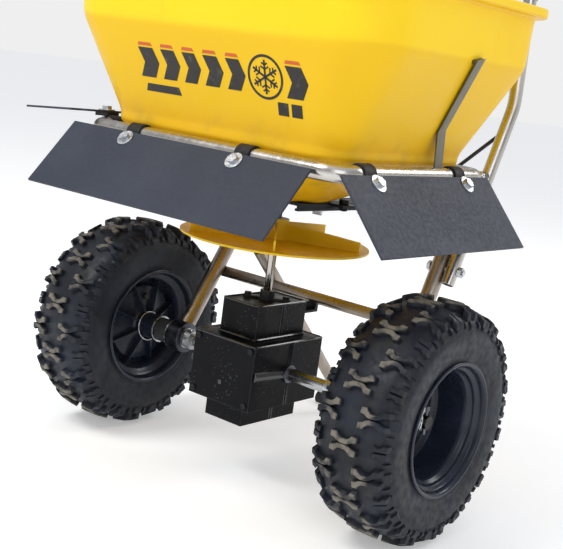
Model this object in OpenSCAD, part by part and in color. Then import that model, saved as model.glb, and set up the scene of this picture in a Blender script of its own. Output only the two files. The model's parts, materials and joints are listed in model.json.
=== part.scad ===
// Walk-behind broadcast salt spreader: hopper on a bent tube frame, two
// pneumatic wheels, ground-driven bevel gearbox, spinner disc and three
// hinged deflector flaps. Millimetres, +Z up, +Y towards the handle.
// The spinner shaft and the wheel axle cross, and every dimension below is
// measured from the point on the ground under that crossing. The whole part
// is then moved so that its origin is under the middle of its own box.

/* [Wheels] */
// Outside diameter of the tyre over its lugs
tyre_d = 336; // [332:1:340]
// Half of the distance between the wheels' centre planes
wheel_x = 281; // [279:1:285]
// Lugs round each row of the tread
lug_count = 13; // [12:1:14]

/* [Axle] */
// Axle diameter
axle_d = 19; // [18:0.5:19.5]
// Axle length
axle_len = 606; // [602:1:612]

/* [Hopper] */
// Half width of the base band
base_x = 207.5; // [205:0.5:209]
// Half depth of the base band
base_y = 161; // [158:0.5:161]
// Height of the base band's top edge
base_z = 515; // [513:1:517]
// Half width at the knee
knee_x = 277.6; // [275:0.2:280]
// Half depth at the knee
knee_y = 207; // [205:0.5:208]
// Height of the knee
knee_z = 645; // [643:1:648]
// Height of the rim's top
rim_z = 730; // [728:1:740]
// Wall thickness
hopper_wall = 4; // [3:0.5:4]

/* [Frame] */
// Ring tube diameter
ring_d = 24; // [23:0.5:24]
// Half width of the ring, to the tube's centre line
ring_x = 225.3; // [225:0.1:226]
// Half depth of the ring, to the tube's centre line
ring_y = 173.8; // [173.8:0.1:174.6]
// Height of the ring's centre line
ring_z = 488.2; // [488:0.1:489]
// Handle tube diameter
handle_d = 20; // [19:0.5:20]
// Lower frame tube diameter
lower_d = 25; // [24:0.5:25]
// Tube wall thickness
tube_wall = 1.6; // [1.2:0.1:2]

/* [Deflector flaps] */
// Width of the front flap
front_flap_w = 437; // [420:1:437]
// Width of each side flap
side_flap_w = 353; // [340:1:354]
// Length of a flap below its hinge tube
flap_len = 116; // [100:1:118]
// Outward tilt of the front and right flaps, from straight down
flap_tilt = 41.2; // [30:0.2:45]
// Outward tilt of the raised left flap, from straight down
flap_raised = 85.4; // [80:0.2:90]

/* [Spinner] */
// Radius of the disc
spinner_r = 140; // [130:1:140]
// Height of the disc's underside
spinner_z = 357; // [355:1:358]
// Number of vanes
vane_count = 5; // [4:1:6]
// Shaft diameter
shaft_d = 12.7; // [12:0.1:12.8]

/* [Gate] */
// Width of the outlet, across the gate's travel
port_w = 38; // [30:1:38]
// Length of the outlet, along the gate's travel
port_len = 34; // [28:1:34]

/* [Hidden] */
$fn = 48;

wheel_r = tyre_d / 2;
tyre_half = 58;
run = 0.1;       // radial clearance of a running fit
loose = 0.3;     // radial clearance between parts that only pass

// flaps: outer face this far from the hinge line, edge starts flap_top below;
// the left one hangs further out, so that it swings past the front one's end
flap_off = 15;
left_flap_off = 22;
function off_of(side) = side == "left" ? left_flap_off : flap_off;
flap_t = 3;
flap_top = 10;
flap_end = flap_len + 8;
front_flap_x = -24;
side_flap_y = -19;
clip_front = 101;
clip_side = 108;
clip_drop = 22;
tilt_reach = flap_off * cos(flap_tilt) + flap_end * sin(flap_tilt);
raised_reach = left_flap_off * cos(flap_raised) + flap_end * sin(flap_raised);

// handle path: [y, z] at each corner
handle_x = 220.5;
handle_foot = [134.6, 330];
handle_knee = [246, 594];
handle_top = [254, 770];
// the tubes lean inboard above the knee
bar_x = 212;
bar = [520, 985];
grip_r = 16;

lower_x0 = 163;
lower_x1 = 197;
lower_knee = [lower_x1, 124.3, 301.5];
lower_top = [lower_x1, 174, 420];

// origin under the middle of the part's box
x_low = -(ring_x + raised_reach);
x_high = wheel_x + tyre_half;
y_low = -(ring_y + tilt_reach);
y_high = bar[0] + grip_r;
home = [-(x_low + x_high) / 2, -(y_low + y_high) / 2, 0];

black = [0.08, 0.08, 0.09];
steel = [0.75, 0.74, 0.72];
zinc = [0.70, 0.72, 0.75];
yellow = [0.93, 0.74, 0.12];
slate = [0.30, 0.33, 0.38];

module at_home() { translate(home) children(); }

// ---- general shapes

// solid cylinder between two points
module rod(a, b, r) {
  d = b - a;
  translate(a)
    rotate([0, acos(d[2] / norm(d)), atan2(d[1], d[0])])
      cylinder(r = r, h = norm(d));
}

function unit(v) = v / norm(v);

// elbow of a round bar at corner b, between the straights from a and to c
module elbow(a, b, c, bend, r) {
  u = unit(a - b);
  v = unit(c - b);
  turn = 180 - acos(u * v);
  o = b + unit(u + v) * (bend / cos(turn / 2));
  s = unit(b + u * bend * tan(turn / 2) - o);
  n = unit(cross(v, u));
  w = cross(n, s);
  multmatrix([[s[0], w[0], n[0], o[0]], [s[1], w[1], n[1], o[1]],
              [s[2], w[2], n[2], o[2]], [0, 0, 0, 1]])
    rotate_extrude(angle = turn) translate([bend, 0]) circle(r);
}
function cut_back(p, i, bend) = i == 0 || i == len(p) - 1 ? 0
  : bend * tan((180 - acos(unit(p[i - 1] - p[i]) * unit(p[i + 1] - p[i]))) / 2);
// round bar along a polyline with every corner bent to one radius; its two
// ends are made longer by ext. Each straight laps over a hair thinner elbow.
lap = 2;
draw = 0.15;
module bent_bar(p, bend, r, ext = 0) {
  last = len(p) - 1;
  for (i = [0:last - 1]) {
    u = unit(p[i + 1] - p[i]);
    rod(p[i] + u * (i > 0 ? cut_back(p, i, bend) - lap : -ext),
        p[i + 1] - u * (i < last - 1 ? cut_back(p, i + 1, bend) - lap : -ext), r);
    if (i > 0) elbow(p[i - 1], p[i], p[i + 1], bend, r - draw);
  }
}
module bent_tube(p, bend, r) {
  difference() {
    bent_bar(p, bend, r);
    bent_bar(p, bend, r - tube_wall, 1);
  }
}

// flat slab with rounded corners, hx and hy are half sizes
module slab(hx, hy, r, z0, h) {
  translate([0, 0, z0]) linear_extrude(h) union() {
    square([2 * hx, 2 * (hy - r)], center = true);
    square([2 * (hx - r), 2 * hy], center = true);
    for (sx = [-1, 1], sy = [-1, 1])
      translate([sx * (hx - r), sy * (hy - r)]) circle(r);
  }
}

module hex_head(r, h) { cylinder(r = r, h = h, $fn = 6); }

// bolt along +Z from z = 0: head above, shank and nut below
module bolt(r, grip, head = 0) {
  hr = head > 0 ? head : 1.9 * r;
  hex_head(hr, 1.3 * r);
  translate([0, 0, -grip - 2.2 * r]) cylinder(r = r, h = grip + 2.2 * r + 0.1);
  translate([0, 0, -grip - 1.6 * r]) hex_head(hr, 1.6 * r);
}

// ---- hopper

mouth_x = knee_x + 2;
mouth_y = knee_y + 2;
throat_r = 70;
throat_z = 424;
band_low = 500;
wall_top = 717;
lip_x = 295;
lip_y = 224;
bracket_z = 685;
bolt_xs = [172, 194];
gate_x = 39;

module hopper_shape(t) {
  hull($fn = 32) {
    translate([0, 0, throat_z + t]) cylinder(r = throat_r - t, h = 1);
    slab(base_x - t, base_y - t, 44 - t, band_low, base_z - band_low);
  }
  hull($fn = 32) {
    slab(base_x - t, base_y - t, 44 - t, base_z - 0.5, 0.5);
    slab(knee_x - t, knee_y - t, 76 - t, knee_z, 0.5);
    slab(mouth_x - t, mouth_y - t, 76 - t, rim_z - 2 + t, 0.5);
  }
}

module hopper_rim() {
  difference() {
    slab(lip_x, lip_y, 88, wall_top, rim_z - wall_top);
    slab(lip_x - 4, lip_y - 4, 84, wall_top - 1, rim_z - wall_top - 3);
  }
}

module hopper() {
  color(yellow) difference() {
    union() {
      hopper_shape(0);
      hopper_rim();
    }
    hopper_shape(hopper_wall);
    translate([0, 0, throat_z - 1]) cylinder(r = 9, h = 8);
    translate([gate_x - port_w / 2, -port_len / 2, throat_z - 1])
      cube([port_w, port_len, 8]);
    for (p = guide_screws) translate([p[0], p[1], throat_z - 1])
      cylinder(r = 3, h = 8);
    for (s = [-1, 1], x = bolt_xs) translate([s * x, mouth_y - 20, bracket_z])
      rotate([-90, 0, 0]) cylinder(r = 3, h = 30);
    for (s = [-1, 1]) at_strap() translate([s * (knee_x - 3), 0, strap_top - 2])
      cube([20, strap_w + 1.6, 4.8], center = true);
  }
}

// flat strap: stands on the ring, lies along the wall, hooks into a slot, and
// leans forward as it rises
strap_w = 20;
strap_top = 650;
module at_strap() {
  pivot = 575;
  translate([0, 32, pivot]) rotate([12, 0, 0]) translate([0, 0, -pivot]) children();
}
function wall_at(z) =
  base_x + (knee_x - base_x) * (z - base_z) / (knee_z - base_z);
module strap(side) {
  t = 2.4;
  off = 1.9;
  low = 549;
  color(steel) mirror([side < 0 ? 1 : 0, 0, 0]) difference() {
    at_strap() translate([0, strap_w / 2, 0]) rotate([90, 0, 0])
      linear_extrude(strap_w) polygon([
        [ring_x - 1, ring_z], [ring_x - 1 + t, ring_z],
        [wall_at(low) + off + t, low], [wall_at(strap_top) + off + t, strap_top],
        [knee_x - 12, strap_top], [knee_x - 12, strap_top - 4],
        [wall_at(strap_top - 4) + off, strap_top - 4], [wall_at(low) + off, low]]);
    translate([0, 0, ring_z]) ring_bar(ring_d / 2 + 0.05, ring_bend);
    translate([0, -100, ring_z - 100]) cube([400, 300, 100.5]);
  }
}
module hopper_strap_left() { strap(-1); }
module hopper_strap_right() { strap(1); }

bracket_face = mouth_y - 0.6;
module hopper_bracket(side) {
  tube_x = handle_x + (bar_x - handle_x) * (bracket_z - handle_knee[1])
    / (handle_top[1] - handle_knee[1]);
  tube_side = tube_x - 6.5;
  color(steel) mirror([side < 0 ? 1 : 0, 0, 0]) difference() {
    union() {
      translate([162, bracket_face, bracket_z - 13])
        cube([tube_side - 162, 3, 26]);
      translate([tube_side - 3, bracket_face, bracket_z - 13])
        cube([3, handle_top[0] - 8.5 - bracket_face, 26]);
    }
    for (x = bolt_xs) translate([x, bracket_face - 1, bracket_z])
      rotate([-90, 0, 0]) cylinder(r = 3, h = 6);
    bent_bar(handle_path(1), handle_bend, handle_d / 2 + 0.05);
  }
}
module hopper_bracket_left() { hopper_bracket(-1); }
module hopper_bracket_right() { hopper_bracket(1); }

module hopper_bolts() {
  color(zinc) for (s = [-1, 1], x = bolt_xs)
    translate([s * x, bracket_face + 3, bracket_z]) rotate([-90, 0, 0])
      bolt(3, 8.3);
}

// ---- frame

ring_bend = 34;
module ring_tube() {
  r = ring_d / 2;
  color(steel) translate([0, 0, ring_z]) difference() {
    ring_bar(r, ring_bend);
    ring_bar(r - tube_wall, ring_bend);
  }
}
module ring_bar(r, bend) {
  for (s = [-1, 1]) {
    translate([bend - ring_x, s * ring_y, 0]) rotate([0, 90, 0])
      cylinder(r = r, h = 2 * (ring_x - bend));
    translate([s * ring_x, ring_y - bend, 0]) rotate([90, 0, 0])
      cylinder(r = r, h = 2 * (ring_y - bend));
  }
  for (k = [0:3]) {
    sx = k == 0 || k == 3 ? 1 : -1;
    sy = k < 2 ? 1 : -1;
    translate([sx * (ring_x - bend), sy * (ring_y - bend), 0])
      rotate([0, 0, 90 * k]) rotate_extrude(angle = 90)
        translate([bend, 0]) circle(r);
  }
}

// welded stubs from the ring's rear corners to the handle tubes
module ring_brackets() {
  y = handle_at(ring_z);
  color(steel) for (s = [-1, 1]) difference() {
    rod([s * handle_x, y, ring_z], [s * (ring_x - 12), ring_y - 12, ring_z], 8);
    translate([0, 0, ring_z]) ring_bar(ring_d / 2, ring_bend);
    bent_bar(handle_path(s), handle_bend, handle_d / 2);
  }
}

handle_bend = 70;
function handle_path(s) = [
  [s * handle_x, handle_foot[0], handle_foot[1]],
  [s * handle_x, handle_knee[0], handle_knee[1]],
  [s * bar_x, handle_top[0], handle_top[1]],
  [s * bar_x, bar[0], bar[1]]];
function handle_at(z) = handle_foot[0] + (z - handle_foot[1])
  * (handle_knee[0] - handle_foot[0]) / (handle_knee[1] - handle_foot[1]);
module handle_tube(s) {
  color(steel) difference() {
    bent_tube(handle_path(s), handle_bend, handle_d / 2);
    rod([s * 190, bar[0], bar[1]], [s * 250, bar[0], bar[1]], handle_d / 2 + 0.2);
    frame_bolt_holes(s);
  }
}
module handle_tube_left() { handle_tube(-1); }
module handle_tube_right() { handle_tube(1); }

module handle_bar() {
  end = bar_x + handle_d / 2;
  color(steel) difference() {
    rod([-end, bar[0], bar[1]], [end, bar[0], bar[1]], handle_d / 2);
    rod([-end - 1, bar[0], bar[1]], [end + 1, bar[0], bar[1]],
        handle_d / 2 - tube_wall);
  }
}
module handle_grips() {
  color(black) for (s = [-1, 1]) difference() {
    rod([s * 60, bar[0], bar[1]], [s * 195, bar[0], bar[1]], grip_r);
    rod([s * 59, bar[0], bar[1]], [s * 196, bar[0], bar[1]], handle_d / 2);
  }
}

lower_bend = 60;
function lower_path(s) = [
  [s * lower_x0, 0, wheel_r], [s * lower_x1, lower_knee[1], lower_knee[2]],
  [s * lower_x1, lower_top[1], lower_top[2]]];
housing_r = 24;
housing_in = 150;
housing_out = 176;
module lower_tube(s) {
  color(steel) difference() {
    bent_tube(lower_path(s), lower_bend, lower_d / 2);
    rod([s * 130, 0, wheel_r], [s * 200, 0, wheel_r], housing_r);
    frame_bolt_holes(s);
  }
}
module lower_tube_left() { lower_tube(-1); }
module lower_tube_right() { lower_tube(1); }

// two cross bolts hold each handle tube to the lower tube beside it
frame_bolt_zs = [350, 396];
function frame_bolt_y(z) = lower_knee[1] + (z - lower_knee[2])
  * (lower_top[1] - lower_knee[1]) / (lower_top[2] - lower_knee[2]);
module frame_bolt_holes(s) {
  for (z = frame_bolt_zs)
    rod([s * 180, frame_bolt_y(z), z], [s * 240, frame_bolt_y(z), z], 4);
}
module frame_bolts() {
  color(zinc) for (s = [-1, 1], z = frame_bolt_zs)
    translate([s * (lower_x1 - lower_d / 2), frame_bolt_y(z), z])
      rotate([0, -90 * s, 0]) bolt(4, handle_x + handle_d / 2 - lower_x1 + lower_d / 2);
}

crossbar_y = 112;
crossbar_z = 262;
crossbar_r = 9;
module crossbar() {
  color(steel) difference() {
    rod([-188, crossbar_y, crossbar_z], [188, crossbar_y, crossbar_z], crossbar_r);
    rod([-189, crossbar_y, crossbar_z], [189, crossbar_y, crossbar_z],
        crossbar_r - tube_wall);
    for (s = [-1, 1]) bent_bar(lower_path(s), lower_bend, lower_d / 2);
  }
}

leg_x = -92;
leg_top = [leg_x, 80, 319];
leg_foot = [leg_x, 392, 10];
module stand_leg() {
  color(steel) difference() {
    rod(leg_top, leg_foot, 10);
    rod(leg_top + (leg_top - leg_foot) / 400, leg_foot, 10 - tube_wall);
    rod([leg_x - 70, leg_foot[1], leg_foot[2]], [leg_x + 70, leg_foot[1], leg_foot[2]], 12);
    rod([-188, crossbar_y, crossbar_z], [188, crossbar_y, crossbar_z], crossbar_r);
  }
}
module stand_foot() {
  color(black) difference() {
    rod([leg_x - 65, leg_foot[1], leg_foot[2]],
        [leg_x + 65, leg_foot[1], leg_foot[2]], 12);
    // flat sole
    translate([leg_x - 80, leg_foot[1] - 20, -10]) cube([160, 40, 10]);
  }
}

module axle_housing(s) {
  color(steel) difference() {
    rod([s * housing_in, 0, wheel_r], [s * housing_out, 0, wheel_r], housing_r);
    rod([s * (housing_in - 1), 0, wheel_r], [s * (housing_out + 1), 0, wheel_r], 16);
  }
}
module axle_housing_left() { axle_housing(-1); }
module axle_housing_right() { axle_housing(1); }

module bearing(s) {
  color(zinc) translate([0, 0, wheel_r]) mirror([s < 0 ? 1 : 0, 0, 0])
    rotate([0, 90, 0]) {
      difference() {
        union() {
          translate([0, 0, housing_in]) cylinder(r = 16, h = housing_out - housing_in);
          translate([0, 0, housing_out]) cylinder(r = 23.5, h = 2.4);
          for (a = [30:120:270]) rotate([0, 0, a]) translate([19.7, 0, housing_out + 2.3])
            cylinder(r = 2.6, h = 1.6);
        }
        translate([0, 0, housing_in - 1]) cylinder(r = axle_d / 2 + run, h = 40);
        translate([20.4, -40, housing_out - 0.1]) cube([20, 80, 6]);
      }
    }
}
module bearing_left() { bearing(-1); }
module bearing_right() { bearing(1); }

// ---- gearbox

gear_x = 58.3;
tier_y = [-82, 73.5];
tier_z = [119.8, 216.4];
upper_x = 34;
upper_y = [-57, 54];
upper_z = 269;
sump_x = 35;
sump_z = 90;
shell = 4;
seam = 0.4;
module box(x, y, z) {
  translate([-x, y[0], z[0]]) cube([2 * x, y[1] - y[0], z[1] - z[0]]);
}
module gearbox_outer() {
  box(gear_x, tier_y, tier_z);
  box(upper_x, upper_y, [tier_z[1] - 1, upper_z]);
  box(sump_x, [-66, 57], [sump_z, tier_z[0] + 1]);
  translate([0, -6, sump_z - 4]) cylinder(r = 7, h = 5);
  rod([-gear_x - 1.5, 0, wheel_r], [gear_x + 1.5, 0, wheel_r], 15);
}
module gearbox_inner() {
  box(gear_x - shell, [tier_y[0] + shell, tier_y[1] - shell],
      [tier_z[0] + shell, tier_z[1] - shell]);
  box(upper_x - shell, [upper_y[0] + shell, upper_y[1] - shell],
      [tier_z[1] - shell - 1, upper_z - shell]);
  box(sump_x - shell, [-66 + shell, 57 - shell],
      [sump_z + shell, tier_z[0] + shell + 1]);
}
boss_screws = [[-23, -17], [23, 17]];
seam_screws = [[-50, 208], [50, 208], [-50, 128], [50, 128]];
module gearbox_half(side) {
  color(black) difference() {
    gearbox_outer();
    gearbox_inner();
    // shallow panel inside a raised lip on each step
    translate([-upper_x + 2.5, upper_y[0] + 2.5, upper_z - 1.2])
      cube([2 * upper_x - 5, upper_y[1] - upper_y[0] - 5, 3]);
    rod([-gear_x - 9, 0, wheel_r], [gear_x + 9, 0, wheel_r], axle_d / 2 + loose);
    translate([0, 0, upper_z - 10]) cylinder(r = 10, h = 20);
    for (p = boss_screws) translate([p[0], p[1], upper_z - 8]) cylinder(r = 3, h = 12);
    // this half stops short of the seam
    translate([-200, side < 0 ? -seam / 2 : seam / 2 - 400, 0]) cube([400, 400, 400]);
  }
}
module gearbox_front() { gearbox_half(-1); }
module gearbox_rear() { gearbox_half(1); }

module gearbox_screws() {
  color(black) {
    for (p = boss_screws) translate([p[0], p[1], upper_z + 1.8]) {
      hex_head(5.5, 4);
      translate([0, 0, -7.5]) cylinder(r = 3, h = 8);
    }
    // seam screws: heads on the front face of the middle step
    for (p = seam_screws) translate([p[0], tier_y[0], p[1]]) rotate([90, 0, 0])
      cylinder(r = 4, h = 2.4);
  }
}

module gearbox_stay() {
  color(black) difference() {
    union() {
      translate([-10, upper_y[1], 240]) cube([20, 64, 4]);
      translate([-10, upper_y[1] + 57, 243]) cube([20, 7, 15]);
    }
    rod([-20, crossbar_y, crossbar_z], [20, crossbar_y, crossbar_z], crossbar_r);
  }
}

shaft_r = shaft_d / 2;
module shaft_bushing() {
  color(black) difference() {
    union() {
      translate([0, 0, upper_z - 10]) cylinder(r = 10, h = 10);
      translate([0, 0, upper_z - 1.2]) cylinder(r = 15, h = 3);
      for (s = [-1, 1]) translate([s * 23, s * 17, upper_z - 1.2]) cylinder(r = 7, h = 3);
      rotate([0, 0, atan2(17, 23)]) translate([-26, -6, upper_z - 1.2]) cube([52, 12, 3]);
      translate([0, 0, upper_z]) cylinder(r = 11, h = 12);
    }
    translate([0, 0, upper_z - 20]) cylinder(r = shaft_r + run, h = 50);
    for (p = boss_screws) translate([p[0], p[1], upper_z - 3]) cylinder(r = 3, h = 12);
  }
}

// ---- shut-off gate

guide_top = throat_z;
guide_t = 4;
gate_gap = 0.5;
gate_t = 3;
gate_half = 26.5;
gate_y = [-24, 30];
gate_z = guide_top - guide_t - gate_gap - gate_t;
guide_screws = [[-50, -35], [-50, 35], [0, -36], [0, 50]];
cable_z = 407;
stop_bolt = [82, 46];
ferrule_y = 165;
module gate_guide() {
  low = gate_z - 4;
  color(black) difference() {
    union() {
      translate([-66, -44, guide_top - guide_t]) cube([140, 144, guide_t]);
      translate([70, 28, guide_top - guide_t]) cube([24, 36, guide_t]);
      // channel rails: a wall and a lip under each edge of the gate
      for (s = [-1, 1]) translate([gate_x + s * (gate_half + 2.5), 33, 0]) {
        translate([-1.5, -77, low]) cube([3, 144, guide_top - guide_t + 0.1 - low]);
        translate([s < 0 ? -1.5 : -4.5, -77, low]) cube([6, 144, gate_z - gate_gap - low]);
      }
      // tongue that carries the cable's end
      translate([gate_x - 10, 99, guide_top - guide_t]) cube([20, ferrule_y - 99, guide_t]);
      translate([gate_x - 10, ferrule_y - 4, cable_z - 9]) cube([20, 4, guide_top - cable_z + 5.1]);
    }
    cylinder_hole(0, 0, 9);
    translate([gate_x - port_w / 2, -port_len / 2, guide_top - guide_t - 1])
      cube([port_w, port_len, guide_t + 2]);
    for (p = guide_screws) cylinder_hole(p[0], p[1], 3);
    cylinder_hole(stop_bolt[0], stop_bolt[1], 4);
    rod([gate_x, ferrule_y - 5, cable_z], [gate_x, ferrule_y + 1, cable_z], 4);
  }
}
module cylinder_hole(x, y, r) {
  translate([x, y, guide_top - guide_t - 1]) cylinder(r = r, h = guide_t + 2);
}
module gate_guide_screws() {
  color(black) translate([stop_bolt[0], stop_bolt[1], 0]) {
    translate([0, 0, guide_top]) cylinder(r = 7.5, h = 7);
    translate([0, 0, guide_top - guide_t - 6]) cylinder(r = 4, h = guide_t + 6.1);
    translate([0, 0, guide_top - guide_t - 5]) hex_head(7, 5);
  }
  color(black) for (p = guide_screws) translate([p[0], p[1], guide_top - guide_t])
    rotate([180, 0, 0]) {
      hex_head(5.5, 3.6);
      translate([0, 0, -guide_t - hopper_wall - 6]) cylinder(r = 3, h = guide_t + hopper_wall + 6.1);
      translate([0, 0, -guide_t - hopper_wall - 4.4]) hex_head(5.5, 4.4);
    }
}
module gate_plate() {
  tab_y = 44;
  color(zinc) {
    translate([gate_x - gate_half, gate_y[0], gate_z])
      cube([2 * gate_half, gate_y[1] - gate_y[0], gate_t]);
    translate([gate_x - 8, gate_y[1] - 1, gate_z])
      cube([16, tab_y - gate_y[1] + 1, gate_t]);
    translate([gate_x - 8, tab_y - 3, cable_z - 6])
      cube([16, 3, gate_z - cable_z + 7]);
    // inner wire, which slides in the sheath
    rod([gate_x, tab_y - 0.1, cable_z], [gate_x, ferrule_y + 8, cable_z], 1.2);
  }
}

// cable sheath along its clipped route: up the right handle tube's inner side
sheath_end = [188, 436, 875];
sheath_bend = 34;
sheath_path = [
  [gate_x, ferrule_y, cable_z], [gate_x, 272, cable_z],
  [203, 272, 560], [203, 272, 735], sheath_end];
module cable_sheath() {
  color(black) difference() {
    union() {
      bent_bar(sheath_path, sheath_bend, 3);
      rod([gate_x, ferrule_y - 4, cable_z], [gate_x, ferrule_y + 8, cable_z], 4);
    }
    // bore that the gate's wire slides in
    rod([gate_x, ferrule_y - 6, cable_z], [gate_x, ferrule_y + 72, cable_z], 1.8);
  }
}

lever_y = 470;
lever_z = 944;
lever_arm = 40;
// clamp round the handle tube, pivot block, and a plate to the sheath's end
module lever_bracket() {
  color(black) difference() {
    union() {
      rod([bar_x - 12, lever_y - 8, lever_z - 6.6],
          [bar_x + 12, lever_y - 8, lever_z - 6.6], 16);
      translate([192, lever_y - 14, lever_z - 14]) cube([18, 28, 28]);
      translate([192, 0, 0]) rotate([90, 0, 90]) linear_extrude(4) polygon([
        [484, 936], [462, 936], [430, 905], [424, 868], [448, 868], [452, 896],
        [484, 931]]);
      translate([181, 430, 866]) cube([14, 12, 17]);
    }
    bent_bar(handle_path(1), handle_bend, handle_d / 2, 1);
    rod([180, lever_y, lever_z], [230, lever_y, lever_z], 4);
    rod(sheath_path[3], sheath_end + unit(sheath_end - sheath_path[3]) * 8, 3.1);
  }
}
module control_lever() {
  color(steel) translate([186, lever_y, lever_z]) rotate([0, 90, 0]) difference() {
    union() {
      cylinder(r = 13, h = 4);
      translate([0, 0, -2]) cylinder(r = 7, h = 3);
      cylinder(r = 4 - run, h = 16);
      translate([-82, -6, 0]) cube([82, 12, 4]);
      translate([0, -6, 0]) cube([lever_arm + 5, 12, 4]);
    }
    translate([lever_arm, 0, -1]) cylinder(r = 1.5, h = 6);
  }
  color(black) translate([188, lever_y, lever_z + 92]) sphere(r = 14);
}

// ---- wheels and axle: shapes are made along +Z and turned to lie along X

module along_x(x) { translate([x, 0, wheel_r]) rotate([0, 90, 0]) children(); }

module axle() {
  color(steel) difference() {
    along_x(-axle_len / 2) cylinder(r = axle_d / 2, h = axle_len);
    for (s = [-1, 1]) translate([s * (axle_len / 2 - 6), 0, wheel_r - 20])
      cylinder(r = 2.6, h = 40);
    translate([drive_x, 0, wheel_r - 20]) cylinder(r = 3, h = 40);
  }
}
// end pins keep the wheels on; the long pin drives the right wheel
drive_x = 222;
module hub_pins() {
  color(zinc) for (s = [-1, 1]) translate([s * (axle_len / 2 - 6), 0, wheel_r]) {
    translate([0, 0, -17]) cylinder(r = 2.6, h = 34);
    translate([0, 0, 16.5]) cylinder(r = 4.2, h = 6);
  }
  color(zinc) translate([drive_x, 0, wheel_r]) {
    translate([0, 0, -25]) cylinder(r = 3, h = 50);
    for (z = [-25, 20]) translate([0, 0, z]) hex_head(5.5, 5);
  }
}

crown_teeth = 24;
pinion_teeth = 12;
crown_r = 40;
tooth_w = 3;
module crown_gear() {
  color(steel) difference() {
    union() {
      along_x(27) cylinder(r = 42, h = 5);
      along_x(27) cylinder(r = 16, h = 22);
      for (k = [0:crown_teeth - 1]) translate([0, 0, wheel_r])
        rotate([360 / crown_teeth * k, 0, 0])
          translate([17, -tooth_w / 2, crown_r - 4]) cube([10.5, tooth_w, 6]);
    }
    along_x(20) cylinder(r = axle_d / 2, h = 40);
  }
}

module axle_collars() {
  color(zinc) for (s = [-1, 1]) mirror([s < 0 ? 1 : 0, 0, 0]) difference() {
    union() {
      along_x(134) cylinder(r = 15, h = 12);
      translate([140, 0, wheel_r + 13]) cylinder(r = 3, h = 4);
    }
    along_x(133) cylinder(r = axle_d / 2, h = 14);
  }
}
module axle_spacers() {
  color(black) for (s = [-1, 1]) mirror([s < 0 ? 1 : 0, 0, 0]) difference() {
    along_x(181.5) cylinder(r = 19, h = 24.5);
    along_x(181) cylinder(r = axle_d / 2, h = 26);
  }
}
module axle_washers() {
  color(zinc) for (s = [-1, 1]) mirror([s < 0 ? 1 : 0, 0, 0]) difference() {
    union() {
      along_x(gear_x + 2.2) cylinder(r = 13.5, h = 2);
      along_x(hub_out + 0.5) cylinder(r = 15, h = 2);
    }
    along_x(gear_x - 4) cylinder(r = axle_d / 2, h = 300);
  }
}
// wire ring on two spokes round a thin collar, inboard of each hub
module lock_rings() {
  color(zinc) for (s = [-1, 1]) mirror([s < 0 ? 1 : 0, 0, 0]) difference() {
    union() {
      along_x(206.6) cylinder(r = 13, h = 2.6);
      difference() {
        along_x(206.8) cylinder(r = 21.5, h = 2.2);
        along_x(205) cylinder(r = 18.7, h = 6);
      }
      translate([207.2, -1.3, wheel_r + 12]) cube([1.4, 2.6, 8]);
      translate([207.2, -1.3, wheel_r - 20]) cube([1.4, 2.6, 8]);
    }
    along_x(205) cylinder(r = axle_d / 2, h = 6);
  }
}

rim_profile = [
  [93, 56.4], [93, 53.6], [89.5, 53.6], [89.5, 40], [79, 36], [76, 28],
  [76, -30], [79, -36], [89.5, -40], [89.5, -53.6], [93, -53.6],
  [93, -56.4], [86.5, -56.4], [86.5, -43], [76.5, -39], [73, -32],
  [73, -14], [64, -17], [61, -26], [30, -30], [20, -34], [20, -71],
  [9.6, -71], [9.6, 9], [19, 9], [19, -20], [31, -26], [63, -22],
  [66, -13], [73, -10], [73, 30], [76.5, 38.5], [86.5, 43], [86.5, 56.4]];
hub_out = wheel_x + 9;
valve_r = 45;
module rim(s) {
  color(black) mirror([s < 0 ? 1 : 0, 0, 0]) along_x(wheel_x) difference() {
    union() {
      rotate_extrude() polygon(rim_profile);
      for (k = [0:7]) rotate([0, 0, 22.5 + 45 * k])
        translate([19.5, -1.5, -42]) cube([54, 3, 14.5]);
    }
    translate([-valve_r, 0, -36]) cylinder(r = 5, h = 22);
    if (s > 0) translate([-30, 0, drive_x - wheel_x]) rotate([0, 90, 0])
      cylinder(r = 3, h = 60);
  }
}
module rim_right() { rim(1); }
module rim_left() { rim(-1); }
module valve(s) {
  color(black) mirror([s < 0 ? 1 : 0, 0, 0]) along_x(wheel_x)
    translate([-valve_r, 0, -34]) {
      cylinder(r = 5, h = 18);
      translate([0, 0, 18]) cylinder(r = 3.5, h = 12);
    }
}
module valve_right() { valve(1); }
module valve_left() { valve(-1); }

carcass_r = wheel_r - 8;
module tyre(s, first_lug) {
  lug_pitch = 360 / lug_count;
  color(black) mirror([s < 0 ? 1 : 0, 0, 0]) along_x(wheel_x) union() {
    rotate_extrude() polygon([
      [89.5, 46], [90.5, 52], [94, 53.2], [110, 56.5], [128, 57.6],
      [143, 56], [carcass_r - 6, 50], [carcass_r - 1, 30], [carcass_r, 0],
      [carcass_r - 1, -30], [carcass_r - 6, -50], [143, -56],
      [128, -57.6], [110, -56.5], [94, -53.2], [90.5, -52], [89.5, -46],
      [97, -46], [110, -49], [128, -50], [143, -46], [151, -28],
      [152, 0], [151, 28], [143, 46], [128, 50], [110, 49], [97, 46]]);
    intersection() {
      rotate_extrude() polygon([
        [100, -57.9], [140, -tyre_half], [158, -54], [wheel_r, -38],
        [wheel_r, 38], [158, 54], [140, tyre_half], [100, 57.9]]);
      for (k = [0:lug_count - 1]) {
        // middle row, with a low knob on each shoulder beside it
        rotate([0, 0, first_lug + k * lug_pitch]) {
          translate([154, -10, -19]) cube([30, 20, 38]);
          for (e = [-1, 1]) translate([138, -8, e * 51 - 7]) cube([21, 16, 14]);
        }
        // outer rows, half a step on
        for (e = [-1, 1]) rotate([0, 0, first_lug + (k + 0.5) * lug_pitch])
          translate([145, -11.5, e * 34 - 18]) cube([40, 23, 36]);
      }
    }
  }
}
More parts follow.
